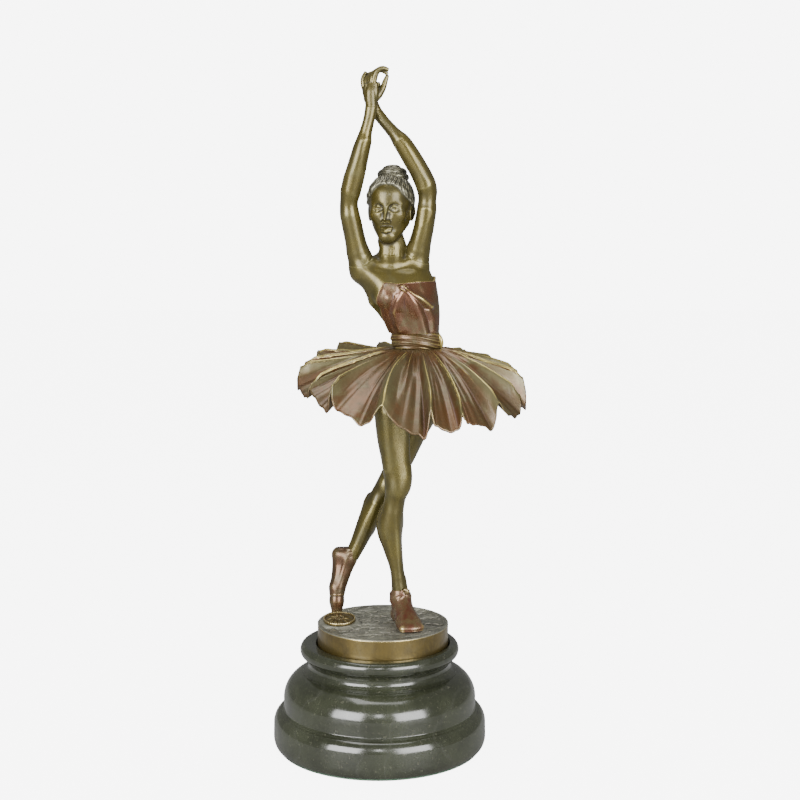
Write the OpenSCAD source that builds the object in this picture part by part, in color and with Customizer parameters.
/* [Figure] */
// Height from the ground to the raised fingertips
figure_h = 318; // [260:1:400]
// Radius of the skirt at its hem
skirt_r = 66; // [54:0.5:84]
// How far the hem hangs below the waist, averaged round the skirt
skirt_drop = 20.5; // [14:0.5:30]
// Height of a skirt fold above and below its middle
fold_rise = 8.6; // [3:0.1:11]
// Number of folds in the skirt
fold_count = 17; // [12:1:22]
// Thickness of the cast skirt
skirt_wall = 1.4; // [1:0.1:2.5]
// Thickness of the cast bodice
bodice_wall = 1.2; // [0.8:0.1:2]
// Thickness of the torso casting round its core
torso_wall = 3.5; // [2.5:0.1:5]

/* [Ground disc] */
// Height of the bronze disc
disc_h = 12.8; // [10.5:0.1:20]
// Ground left outside the furthest foot stud
disc_margin = 8.5; // [7.5:0.1:14]
// Thickness of the disc's rim
disc_wall = 3; // [2:0.1:3.5]
// Thickness of the disc's top plate
disc_top = 4; // [3:0.1:5]
// Diameter of the round seal let into the ground
seal_d = 19; // [12:0.5:22]
// Thickness of the seal's rim
seal_h = 1.8; // [1.2:0.1:3]

/* [Plinth] */
// Height of the marble plinth
plinth_h = 60.9; // [48:0.1:90]
// How much further out the plinth's foot reaches than its collar
plinth_flare = 16; // [12:0.1:24]
// Marble left outside the disc's recess
collar_land = 8.2; // [6:0.1:14]
// Depth of the recess that the disc sits in
recess_h = 1.3; // [0.8:0.1:3]
// Distance of the disc's axis from the plinth's axis
disc_shift = 2; // [0:0.1:4]
// Thickness of the felt under the plinth
felt_h = 1; // [0.6:0.1:3]
// Marble left uncovered outside the felt
felt_inset = 3; // [2:0.1:8]

/* [Fixings] */
// Diameter of the rod that ties the disc to the plinth
tie_rod_d = 6; // [5:0.1:8]
// Diameter of the rod that ties the torso to the hips
torso_rod_d = 5; // [4:0.1:6.5]
// Diameter of the threaded studs under the feet
stud_d = 4; // [3:0.1:5]
// Diameter of the tenons at the hips, ankles, shoulders and neck
tenon_d = 5; // [3.5:0.1:6.5]
// Diameter of the pins in the wrists and under the seal
pin_d = 3; // [2:0.1:4]
// Length of the tenons
tenon_l = 8; // [5:0.5:10]
// Radial clearance of rods, studs, tenons and pins in their holes
fit = 0.05; // [0.02:0.01:0.1]
// Clearance round the disc in its recess and round the rod in the marble
loose_fit = 0.9; // [0.4:0.1:1.5]
// Depth of the pocket for the nut under the plinth
pocket_h = 15; // [13:0.5:24]

/* [Hidden] */
$fn = 96;

// The figure is laid out for a height of 318 and scaled as a whole. Its own frame
// has its origin on the ground at the disc's axis.
k = figure_h / 318;
ankle_z = 19;         // top of the standing slipper
instep_z = 36;        // top of the slipper on point
hip_z = 140;          // seam between the legs and the hips
hub_z = 159;          // seam between the hips and the skirt
waist_z = 161;        // seam between the skirt and the torso
sash_z = 170;         // seam between the sash and the bodice
shoulder_z = 207;     // seam between the torso and the arms
neck_z = 216;         // seam between the torso and the head
wrist_z = 297;        // seam between the arms and the hands

right_foot = [14, -4];
left_toe = [-27, 12.5];
right_ankle = [10, 0];
left_ankle = [-18, 17];
right_hip = [3.5, -1];
left_hip = [27, 8];
waist = [19.7, 0];
rod_at = [16, 0];
right_shoulder = [-10.5, 0];
left_shoulder = [18.2, 3];
neck = [5.5, -0.5];
right_wrist = [-5.6, -14];
left_wrist = [-4.3, -7];
seal_at = [-25.5, -0.5];
seal_tilt = 7;

disc_r = norm(left_toe) * k + disc_margin;
collar_r = disc_r + collar_land;
foot_r = collar_r + plinth_flare;
plinth_top = felt_h + plinth_h;
disc_z = plinth_top - recess_h;
ground_z = disc_z + disc_h;
plate_z = ground_z - disc_top;
boss_r = tie_rod_d / 2 + 4;
rod_blind = 2;                         // metal left over the tie rod in the disc
washer_h = 1.2;
nut_h_ratio = 0.8;                     // nut height for its thread diameter
nut_af_ratio = 1.7;                    // nut width across flats for its thread
rod_end = 2;                           // thread showing past a nut
torso_rod_grip = 22;                   // thread in the torso
hub_r = 13;                            // flat flange of the skirt at the waist
flange_w = 6;                          // width of the flange

function nut_h(d) = d * nut_h_ratio;
function nut_r(d) = d * nut_af_ratio / sqrt(3);
function washer_r(d) = nut_r(d) + 0.8;

// ---- Curves and skins -------------------------------------------------------

// Points of an ellipse arc from angle a0 to a1 about (x, y)
function arc(x, y, rx, ry, a0, a1, steps = 12) =
    [for (i = [0:steps]) let (a = a0 + (a1 - a0) * i / steps) [x + rx * cos(a), y + ry * sin(a)]];

// A smooth curve through p1 and p2, led by their neighbours
function through(p0, p1, p2, p3, t) =
    p1 + t / 2 * (p2 - p0 + t * (2 * p0 - 5 * p1 + 4 * p2 - p3 + t * (3 * p1 - p0 - 3 * p2 + p3)));

// Stations filled in with a smooth curve, `steps` to each gap
function smooth(st, steps) =
    let (last = len(st) - 1)
    [for (i = [0:last - 1]) for (j = [0:steps - 1])
        through(st[max(i - 1, 0)], st[i], st[i + 1], st[min(i + 2, last)], j / steps),
     st[last]];

// Level ring round a station [x, y, z, half length, half width, heading]
function ring(s, sides, grow = 0) =
    [for (i = [0:sides - 1])
        let (a = 360 * i / sides, u = (s[3] + grow) * cos(a), v = (s[4] + grow) * sin(a))
        [s[0] + u * cos(s[5]) - v * sin(s[5]), s[1] + u * sin(s[5]) + v * cos(s[5]), s[2]]];

// Two triangles between neighbouring rows a and b, at columns c and d
function cell(n, a, b, c, d) = [[a * n + c, b * n + c, b * n + d], [a * n + c, b * n + d, a * n + d]];

// Solid skin over a stack of closed rings
module skin(rings) {
    n = len(rings[0]);
    top = len(rings) - 1;
    sides = [for (i = [0:top - 1]) for (j = [0:n - 1]) each cell(n, i, i + 1, j, (j + 1) % n)];
    polyhedron([for (r = rings) each r],
               concat([[for (j = [0:n - 1]) j]], sides, [[for (j = [n - 1:-1:0]) top * n + j]]));
}

// Wall between an outer and an inner grid of rows; closed rows run right round
module wall(outer, inner, closed = true) {
    rows = len(outer);
    n = len(outer[0]);
    last = closed ? n - 1 : n - 2;
    faces_out = [for (i = [0:rows - 2]) for (j = [0:last]) each cell(n, i, i + 1, j, (j + 1) % n)];
    faces_in = [for (i = [0:rows - 2]) for (j = [0:last])
                    each cell(n, rows + i + 1, rows + i, j, (j + 1) % n)];
    low = [for (j = [0:last]) each cell(n, rows, 0, j, (j + 1) % n)];
    high = [for (j = [0:last]) each cell(n, rows - 1, 2 * rows - 1, j, (j + 1) % n)];
    first = [for (i = [0:rows - 2]) each strip(n, rows + i, i, 0)];
    final = [for (i = [0:rows - 2]) each strip(n, i, rows + i, n - 1)];
    polyhedron([for (r = concat(outer, inner)) each r],
               concat(faces_out, faces_in, low, high, closed ? [] : concat(first, final)));
}

// Two triangles that close the end of an open wall at column c
function strip(n, a, b, c) =
    [[a * n + c, (a + 1) * n + c, (b + 1) * n + c], [a * n + c, (b + 1) * n + c, b * n + c]];

// Limb through level stations
module limb(stations, steps = 4, sides = 18) {
    skin([for (s = smooth(stations, steps)) ring(s, sides)]);
}

// Round bar along a path of [x, y, z, radius] that never runs along Y
module bar(path, steps = 3, sides = 8) {
    pts = smooth(path, steps);
    last = len(pts) - 1;
    skin([for (i = [0:last])
        let (here = pts[i], before = pts[max(i - 1, 0)], after = pts[min(i + 1, last)],
             run = [after[0] - before[0], after[1] - before[1], after[2] - before[2]],
             across = [run[2], 0, -run[0]] / norm([run[0], run[2]]))
        [for (j = [0:sides - 1]) let (a = 360 * j / sides)
            [here[0], here[1], here[2]] + here[3] * (cos(a) * across + sin(a) * [0, 1, 0])]]);
}

// Moves the figure's own frame to its place on the ground, at its scale
module on_ground() {
    translate([disc_shift, 0, ground_z]) scale(k) children();
}

// The same place, without the scale, at a point [x, y] and height z of the figure
module fixing(at, z) {
    translate([disc_shift + at[0] * k, at[1] * k, ground_z + z * k]) children();
}

// Peg from d below the point to u above it
module peg(dia, down, up) {
    translate([0, 0, -down]) cylinder(d = dia, h = down + up);
}

module nut(dia) {
    difference() {
        cylinder(r = nut_r(dia), h = nut_h(dia), $fn = 6);
        translate([0, 0, -1]) cylinder(d = dia + 2 * fit, h = nut_h(dia) + 2);
    }
}

module washer(dia) {
    difference() {
        cylinder(r = washer_r(dia), h = washer_h);
        translate([0, 0, -1]) cylinder(d = dia + 2 * fit, h = washer_h + 2);
    }
}

// ---- Plinth and ground ------------------------------------------------------

module felt_pad() {
    color("darkolivegreen") cylinder(r = foot_r - felt_inset, h = felt_h);
}

// Turned outline from the foot up: rounded foot band, groove, dome, cove and collar
function plinth_outline() =
    let (h = plinth_h / 60.9,
         band = 0.34 * plinth_flare,
         dome_r = foot_r - 0.38 * plinth_flare,
         cove_r = collar_r - 5.4,
         lip = 3.2)
    concat([[0, 0]],
           arc(foot_r - 3, 6 * h, 3, 6 * h, -90, 0, 8),
           arc(foot_r - band, 12.5 * h, band, 8.5 * h, 15, 86),
           arc(dome_r + 0.9, 22.8 * h, 0.9, 0.8 * h, 270, 180, 4),
           arc(cove_r, 28.5 * h, dome_r - cove_r, 15.5 * h, 0, 88, 16),
           arc(collar_r - 0.9, 48.5 * h, 4.8, 4.6 * h, 262, 106),
           arc(collar_r - lip, 57 * h, lip, 3.9 * h, -42, 90),
           [[0, plinth_h]]);

module plinth() {
    color("darkslategray") difference() {
        translate([0, 0, felt_h]) rotate_extrude() polygon(plinth_outline());
        translate([disc_shift, 0, disc_z]) cylinder(r = disc_r + loose_fit, h = recess_h + 1);
        translate([disc_shift, 0, 0]) cylinder(d = tie_rod_d + loose_fit, h = plinth_top + 1);
        translate([disc_shift, 0, felt_h - 1])
            cylinder(r = washer_r(tie_rod_d) + loose_fit, h = pocket_h + 1);
    }
}

rod_top = ground_z - rod_blind;
pocket_top = felt_h + pocket_h;
rod_bottom = pocket_top - washer_h - nut_h(tie_rod_d) - rod_end;

module tie_rod() {
    color("lightsteelblue") translate([disc_shift, 0, rod_bottom])
        cylinder(d = tie_rod_d, h = rod_top - rod_bottom);
}

module rod_washer() {
    color("lightsteelblue") translate([disc_shift, 0, pocket_top - washer_h]) washer(tie_rod_d);
}

module rod_nut() {
    color("lightsteelblue") translate([disc_shift, 0, pocket_top - washer_h - nut_h(tie_rod_d)])
        nut(tie_rod_d);
}

// Place of the seal: a tilted seat that rises from the ground
module at_seal() {
    translate([disc_shift + seal_at[0] * k, seal_at[1] * k, ground_z]) rotate([seal_tilt, 0, 0]) children();
}

seal_seat = 1.4;   // height of the seat's middle above the ground

module ground_disc() {
    color("darkgoldenrod") difference() {
        union() {
            translate([disc_shift, 0, disc_z]) difference() {
                cylinder(r = disc_r, h = disc_h);
                translate([0, 0, -1]) cylinder(r = disc_r - disc_wall, h = disc_h - disc_top + 1);
            }
            translate([disc_shift, 0, disc_z]) cylinder(r = boss_r, h = disc_h - 1);
            at_seal() translate([0, 0, seal_seat - disc_top]) cylinder(d = seal_d + 1.5, h = disc_top);
        }
        translate([disc_shift, 0, disc_z - 1])
            cylinder(d = tie_rod_d + 2 * fit, h = disc_h - rod_blind + 1);
        fixing(right_foot, 0) peg(stud_d + 2 * fit, disc_h, 1);
        fixing(left_toe, 0) peg(stud_d + 2 * fit, disc_h, 1);
        at_seal() translate([0, 0, seal_seat]) peg(pin_d + 2 * fit, 3, 4);
    }
}

module seal_medallion() {
    crown = 0.9;   // height of the domed middle
    color("goldenrod") at_seal() translate([0, 0, seal_seat]) {
        rotate_extrude() polygon(concat([[0, 0], [seal_d / 2, 0]],
            arc(seal_d / 2 - 0.8, seal_h - 0.8, 0.8, 0.8, 0, 180, 8),
            arc(0, seal_h - 0.9, seal_d / 2 - 2.2, crown, 0, 90, 8)));
        peg(pin_d, 2.8, 0.5);
    }
}

// ---- Feet and legs ----------------------------------------------------------

stud_l = disc_top + washer_h + nut_h(stud_d) + 1;

module right_slipper() {
    color("saddlebrown") {
        difference() {
            on_ground() limb([[14.2, -7, 0, 15, 6.6, -70],
                              [14.2, -7, 2.5, 16.4, 7.2, -70],
                              [13.2, -4.6, 7, 12.8, 5.8, -68],
                              [11.6, -0.6, 12, 8, 4.7, -64],
                              [right_ankle[0], right_ankle[1], ankle_z, 4.4, 4, -60]]);
            fixing(right_ankle, ankle_z) peg(tenon_d + 2 * fit, tenon_l, 1);
        }
        fixing(right_foot, 0) peg(stud_d, stud_l, 2);
    }
}

module left_slipper() {
    color("saddlebrown") {
        difference() {
            on_ground() limb([[left_toe[0], left_toe[1], 0, 2.9, 2.7, 0],
                              [-26.8, 12.6, 5, 3.6, 3.2, 0],
                              [-27.3, 14, 12.6, 4.7, 3.9, 0],
                              [-26.5, 15.3, 21.4, 5.3, 4.3, 0],
                              [-23.6, 16.8, 31, 7.2, 4.7, 0],
                              [-21.8, 17.2, instep_z, 8.2, 4.8, 0]]);
            fixing(left_ankle, instep_z) peg(tenon_d + 2 * fit, tenon_l, 1);
        }
        fixing(left_toe, 0) peg(stud_d, stud_l, 2);
    }
}

module under_feet(z) {
    for (at = [right_foot, left_toe]) translate([disc_shift + at[0] * k, at[1] * k, z]) children();
}

module foot_washers() {
    color("lightsteelblue") under_feet(plate_z - washer_h) washer(stud_d);
}

module foot_nuts() {
    color("lightsteelblue") under_feet(plate_z - washer_h - nut_h(stud_d)) nut(stud_d);
}

module right_leg() {
    color("darkkhaki") {
        on_ground() limb([[right_ankle[0], right_ankle[1], ankle_z, 3.9, 4, 0],
                          [8, 1, 32.2, 4.2, 4.8, 0],
                          [5.5, 1.8, 44.6, 6, 6.8, 0],
                          [4.2, 1.2, 56.6, 7.4, 7.6, 0],
                          [6.6, -1.6, 72.5, 6.3, 6.6, 0],
                          [8.6, -3, 81, 7.7, 7.4, 0],
                          [7.7, -2.5, 93.8, 8.2, 8, 0],
                          [5.6, -2, 109.4, 9.1, 8.8, 0],
                          [4.8, -2, 126, 10, 9.6, 0],
                          [right_hip[0], right_hip[1], hip_z, 10.8, 10.2, 0]]);
        fixing(right_ankle, ankle_z) peg(tenon_d, tenon_l - 0.5, 3);
        fixing(right_hip, hip_z) peg(tenon_d, 3, tenon_l - 0.5);
    }
}

module left_leg() {
    color("darkkhaki") {
        on_ground() limb([[left_ankle[0], left_ankle[1], instep_z, 4.3, 4.3, 0],
                          [-13.8, 18, 45, 5.6, 5.8, 0],
                          [-7.5, 18.5, 59.5, 7, 7.2, 0],
                          [-3, 18, 69.2, 6.9, 6.8, 0],
                          [4.1, 17, 81.4, 7.6, 7.2, 0],
                          [10, 15.5, 93.1, 8.2, 7.8, 0],
                          [15.8, 13.5, 107, 9, 8.6, 0],
                          [23, 10.5, 122, 9.8, 9.6, 0],
                          [left_hip[0], left_hip[1], hip_z, 10.6, 10.2, 0]]);
        fixing(left_ankle, instep_z) peg(tenon_d, tenon_l - 0.5, 3);
        fixing(left_hip, hip_z) peg(tenon_d, 3, tenon_l - 0.5);
    }
}

// ---- Hips, skirt and sash ---------------------------------------------------

nut_room = 0.5;                                                   // room round the washer in the hips
torso_pocket_h = washer_h + nut_h(torso_rod_d) + rod_end;         // depth of the nut pocket in the hips

module hips() {
    color("saddlebrown") difference() {
        on_ground() limb([[15.4, 3.4, hip_z, 23.2, 11, 21],
                          [16, 3, 149, 21.5, 12, 19],
                          [waist[0], waist[1] + 0.5, hub_z, 12.6, 11, 10]], sides = 28);
        fixing(right_hip, hip_z) peg(tenon_d + 2 * fit, 1, tenon_l);
        fixing(left_hip, hip_z) peg(tenon_d + 2 * fit, 1, tenon_l);
        fixing(rod_at, hub_z) peg(torso_rod_d + 2 * fit, (hub_z - hip_z) * k + 1, 1);
        fixing(rod_at, hip_z) peg(2 * washer_r(torso_rod_d) + 2 * nut_room, 1, torso_pocket_h);
    }
}

skirt_lean = 11;                 // degrees that the hem leans forward
skirt_roll = -3.5;               // degrees that the hem drops to the figure's left
hem_at = [-3, 0];                // middle of the hem, from the waist
skirt_rows = 8;
skirt_columns = fold_count * 9;
fold_pinch = 0.5;                // how far each ridge is drawn together

// Lengthwise phase of the folds, with a slow drift so that no two are alike
function fold_phase(a) = fold_count * a + 40 * sin(2 * a + 30) + 24 * sin(5 * a);

// Point of the skirt at angle a and share s of the way from the flange to the hem,
// in millimetres from the middle of the waist seam
function skirt_point(a, s) =
    let (p = fold_phase(a),
         t = a - fold_pinch * s * 180 / PI * sin(p) / fold_count,
         r = hub_r * k + (skirt_r - hub_r * k) * s,
         x = hem_at[0] * k * s + r * cos(t),
         y = hem_at[1] * k * s + r * sin(t),
         swell = fold_rise * pow(s, 1.2) * (1 + 0.15 * sin(3 * a + 60)),
         rim = skirt_r * s * s)
    [x, y, -skirt_drop * pow(s, 1.3) + swell * cos(p)
           + rim * (sin(t) * tan(skirt_lean) + cos(t) * tan(skirt_roll))];

// Unit normal of the skirt, upwards
function skirt_normal(a, s) =
    let (step = 0.01,
         c = max(step, min(1 - step, s)),
         u = skirt_point(a, c + step) - skirt_point(a, c - step),
         v = skirt_point(a + 0.3, s) - skirt_point(a - 0.3, s),
         n = cross(u, v))
    n / norm(n);

// The flange is flat and as thick as the gap between hips and torso; the skirt thins
// from it to its own wall
module skirt() {
    angles = [for (j = [0:skirt_columns - 1]) 360 * j / skirt_columns];
    shares = [for (i = [0:skirt_rows]) i / skirt_rows];
    flange_h = (waist_z - hub_z) * k;
    flange_r = (hub_r - flange_w) * k;
    function under(a, s) = s == 0 ? skirt_point(a, 0) - [0, 0, flange_h]
                                  : skirt_point(a, s) - skirt_wall * skirt_normal(a, s);
    // rows run from the hem inwards, which turns the faces outwards
    upper = [for (i = [skirt_rows:-1:0]) [for (a = angles) skirt_point(a, shares[i])]];
    lower = [for (i = [skirt_rows:-1:0]) [for (a = angles) under(a, shares[i])]];
    flange = [for (a = angles) flange_r * [cos(a), sin(a), 0]];
    flange_under = [for (q = flange) q - [0, 0, flange_h]];
    color("sienna") fixing(waist, waist_z) wall(concat(upper, [flange]), concat(lower, [flange_under]));
}

function waist_ring(z, grow) = ring([waist[0] - 0.12 * (z - waist_z), 0, z, 12 + grow, 9 + grow, 0], 32);

module waist_sash() {
    swell = 3.1;   // how far the sash stands out from the waist
    heights = [for (i = [0:6]) waist_z + (sash_z - waist_z) * i / 6];
    roundness = 0.9;
    function out(z) = swell - roundness * (1 - sin(180 * (z - waist_z) / (sash_z - waist_z)));
    outer = [for (z = heights) waist_ring(z, out(z))];
    inner = [for (z = heights) waist_ring(z, 0.6)];
    color("saddlebrown") on_ground() wall(outer, inner);
}

// ---- Torso and bodice -------------------------------------------------------

torso_line = [[waist[0], 0, waist_z, 12, 9, 0],
              [18.7, 0, sash_z, 12.4, 9.3, 0],
              [16, 0, 178.4, 15.4, 11, 0],
              [13.7, -0.5, 185.3, 17.5, 12.4, 0],
              [9.9, -0.5, 195, 20, 13.2, 0],
              [6.4, 0.5, 203, 21.4, 11.6, 0],
              [4.6, 1, shoulder_z, 21.8, 8.4, 6]];

module torso() {
    core = [for (s = torso_line) if (s[2] > 175 && s[2] < 205)
        [s[0], s[1], s[2], s[3] - torso_wall, s[4] - torso_wall, s[5]]];
    color("darkkhaki") difference() {
        on_ground() union() {
            limb(torso_line, sides = 28);
            limb([[4.2, 1.5, shoulder_z - 4, 6.2, 6, 0],
                  [4.2, 1, shoulder_z, 6.4, 6.4, 0],
                  [4.8, 0.4, 211, 6.9, 6.4, 0],
                  [neck[0], neck[1], neck_z, 5.9, 5.9, 0]]);
        }
        on_ground() limb(core, sides = 20);
        fixing(rod_at, waist_z) peg(torso_rod_d + 2 * fit, 1, torso_rod_grip);
        fixing(neck, neck_z) peg(tenon_d + 2 * fit, tenon_l, 1);
        fixing(right_shoulder, shoulder_z) peg(tenon_d + 2 * fit, tenon_l, 1);
        fixing(left_shoulder, shoulder_z) peg(tenon_d + 2 * fit, tenon_l, 1);
    }
}

// The bodice wraps the front and her left side; its edges fall back to her right flank
module bodice() {
    gap = 0.25;             // room between the bodice and the torso
    columns = 22;
    back_edge = 95;         // where the bodice ends behind her left side
    neckline_edge = -106;   // where its front edge starts at the neckline
    sweep = 58;             // how much further round it reaches at the waist
    rows = smooth([for (i = [1:4]) torso_line[i]], 4);
    top = rows[len(rows) - 1][2];
    function edge(s, a, grow) =
        let (g = grow + gap) [s[0] + (s[3] + g) * cos(a), s[1] + (s[4] + g) * sin(a), s[2]];
    function front(s) = neckline_edge - sweep * (top - s[2]) / (top - sash_z);
    function row(s, grow) = [for (j = [0:columns])
        edge(s, front(s) + (back_edge - front(s)) * j / columns, grow)];
    outer = [for (s = rows) row(s, bodice_wall / k)];
    inner = [for (s = rows) row(s, 0)];
    color("saddlebrown") on_ground() wall(outer, inner, closed = false);
}

torso_nut_z = hip_z * k + torso_pocket_h - washer_h;   // underside of the washer in the hips

module torso_rod() {
    bottom = torso_nut_z - nut_h(torso_rod_d) - rod_end / 2;
    color("lightsteelblue") translate([disc_shift + rod_at[0] * k, rod_at[1] * k, ground_z + bottom])
        cylinder(d = torso_rod_d, h = waist_z * k + torso_rod_grip - bottom);
}

module torso_washer() {
    color("lightsteelblue") translate([disc_shift + rod_at[0] * k, rod_at[1] * k, ground_z + torso_nut_z])
        washer(torso_rod_d);
}

module torso_nut() {
    color("lightsteelblue")
        translate([disc_shift + rod_at[0] * k, rod_at[1] * k, ground_z + torso_nut_z - nut_h(torso_rod_d)])
        nut(torso_rod_d);
}

// ---- Head, arms and hands ---------------------------------------------------

module head() {
    color("darkkhaki") {
        on_ground() union() {
            limb([[neck[0], neck[1], neck_z, 5.8, 5.8, 0],
                  [4.9, 0.5, 220.5, 5.9, 6.4, 0],
                  [3.8, -1.4, 224.5, 8, 9.6, 12],
                  [3.9, -0.5, 230, 10.6, 12.6, 12],
                  [4.3, 0.4, 238, 12.6, 14.8, 12],
                  [4.5, 1.2, 246, 13.2, 15.6, 12],
                  [4.6, 2.2, 252.5, 11.8, 14, 12],
                  [4.8, 3.2, 257, 8, 9.6, 12],
                  [4.9, 3.6, 259, 4, 5, 12]]);
            limb([[5.2, 5, 250, 6.5, 6.5, 0],
                  [5.2, 5, 256, 8, 7.6, 0],
                  [5.2, 5.2, 261.5, 7.6, 7, 0],
                  [5.2, 5.4, 264.8, 4, 3.6, 0]]);
        }
        fixing(neck, neck_z) peg(tenon_d, tenon_l - 0.5, 3);
    }
}

module right_arm() {
    color("darkkhaki") {
        difference() {
            on_ground() limb([[right_shoulder[0], right_shoulder[1], shoulder_z, 6.8, 6.6, 0],
                              [-13.6, -1, 214.8, 5.7, 5.8, 0],
                              [-15.4, -3, 222.7, 5.1, 5.4, 0],
                              [-17.3, -5, 232.8, 4.8, 5, 0],
                              [-18.6, -7, 242.8, 4.2, 4.5, 0],
                              [-16.2, -9.5, 256.1, 4.9, 4.8, 0],
                              [-14.5, -11, 262.6, 4.4, 4.6, 0],
                              [-10.8, -13, 275.7, 3.7, 3.8, 0],
                              [-7.2, -14, 288.7, 3.1, 2.8, 0],
                              [right_wrist[0], right_wrist[1], wrist_z, 3.2, 2.6, 0]]);
            fixing(right_wrist, wrist_z) peg(pin_d + 2 * fit, tenon_l, 1);
        }
        fixing(right_shoulder, shoulder_z) peg(tenon_d, tenon_l - 0.5, 3);
    }
}

module left_arm() {
    color("darkkhaki") {
        difference() {
            on_ground() limb([[left_shoulder[0], left_shoulder[1], shoulder_z, 7.2, 6.6, 0],
                              [20.2, 2, 215.8, 5.8, 5.8, 0],
                              [21.9, 0, 222.7, 5.5, 5.5, 0],
                              [24, -1.5, 232, 4.9, 5, 0],
                              [25.2, -3, 242.9, 4.6, 4.6, 0],
                              [24.9, -4, 250.7, 4.5, 4.6, 0],
                              [23, -4.6, 257.4, 4.8, 4.6, 0],
                              [20.2, -5, 263, 5.1, 4.6, 0],
                              [14.2, -6, 272.7, 5, 4.2, 0],
                              [9.2, -6.5, 279.3, 4.6, 3.8, 0],
                              [3.3, -7, 285.9, 4.1, 3.2, 0],
                              [-0.6, -7, 290.4, 3.8, 2.8, 0],
                              [left_wrist[0], left_wrist[1], wrist_z, 3.2, 2.6, 0]]);
            fixing(left_wrist, wrist_z) peg(pin_d + 2 * fit, tenon_l, 1);
        }
        fixing(left_shoulder, shoulder_z) peg(tenon_d, tenon_l - 0.5, 3);
    }
}

module right_hand() {
    color("darkkhaki") {
        on_ground() union() {
            limb([[right_wrist[0], right_wrist[1], wrist_z, 3.1, 2.5, 0],
                  [-6, -14, 302, 4, 2.5, 0],
                  [-5.6, -14, 307.5, 4.2, 2.2, 0],
                  [-4.6, -14, 311.5, 2.8, 1.8, 0]], sides = 12);
            bar([[-7.2, -14, 306, 1.5], [-7.6, -14.3, 312, 1.4], [-5, -14.6, 316.6, 1.3],
                 [-0.5, -14.6, 317.2, 1.1], [3.2, -14.4, 315.6, 0.9]]);
            bar([[-5, -14, 308, 1.5], [-3.6, -14.8, 312.6, 1.4], [-0.6, -15.2, 314.6, 1.2],
                 [2.6, -15, 312.8, 0.9]]);
            bar([[-3.2, -13.6, 301.5, 1.7], [-0.8, -13, 304, 1.5], [1.4, -12.4, 308, 1.3],
                 [2.9, -12.2, 311.4, 0.9]]);
        }
        fixing(right_wrist, wrist_z) peg(pin_d, tenon_l - 0.5, 3);
    }
}

module left_hand() {
    color("darkkhaki") {
        on_ground() union() {
            limb([[left_wrist[0], left_wrist[1], wrist_z, 3.1, 2.5, 0],
                  [-7, -7, 301.5, 3.9, 2.4, 0],
                  [-8.4, -6.8, 306, 3.6, 2.2, 0],
                  [-8.8, -6.6, 309.5, 2.6, 1.8, 0]], sides = 12);
            bar([[-9.6, -6.6, 305, 1.5], [-10.4, -6.4, 311, 1.3], [-9.2, -6.2, 315.6, 0.9]]);
            bar([[-8, -6.8, 306, 1.5], [-8, -6.8, 311, 1.3], [-5.6, -7.4, 314.6, 0.9]]);
            bar([[-5, -7, 302, 1.6], [-3, -7.6, 305, 1.4], [-1.4, -8.4, 308, 1]]);
        }
        fixing(left_wrist, wrist_z) peg(pin_d, tenon_l - 0.5, 3);
    }
}

felt_pad();
plinth();
tie_rod();
rod_washer();
rod_nut();
ground_disc();
seal_medallion();
right_slipper();
left_slipper();
foot_washers();
foot_nuts();
right_leg();
left_leg();
hips();
skirt();
waist_sash();
torso();
bodice();
torso_rod();
torso_washer();
torso_nut();
head();
right_arm();
left_arm();
right_hand();
left_hand();
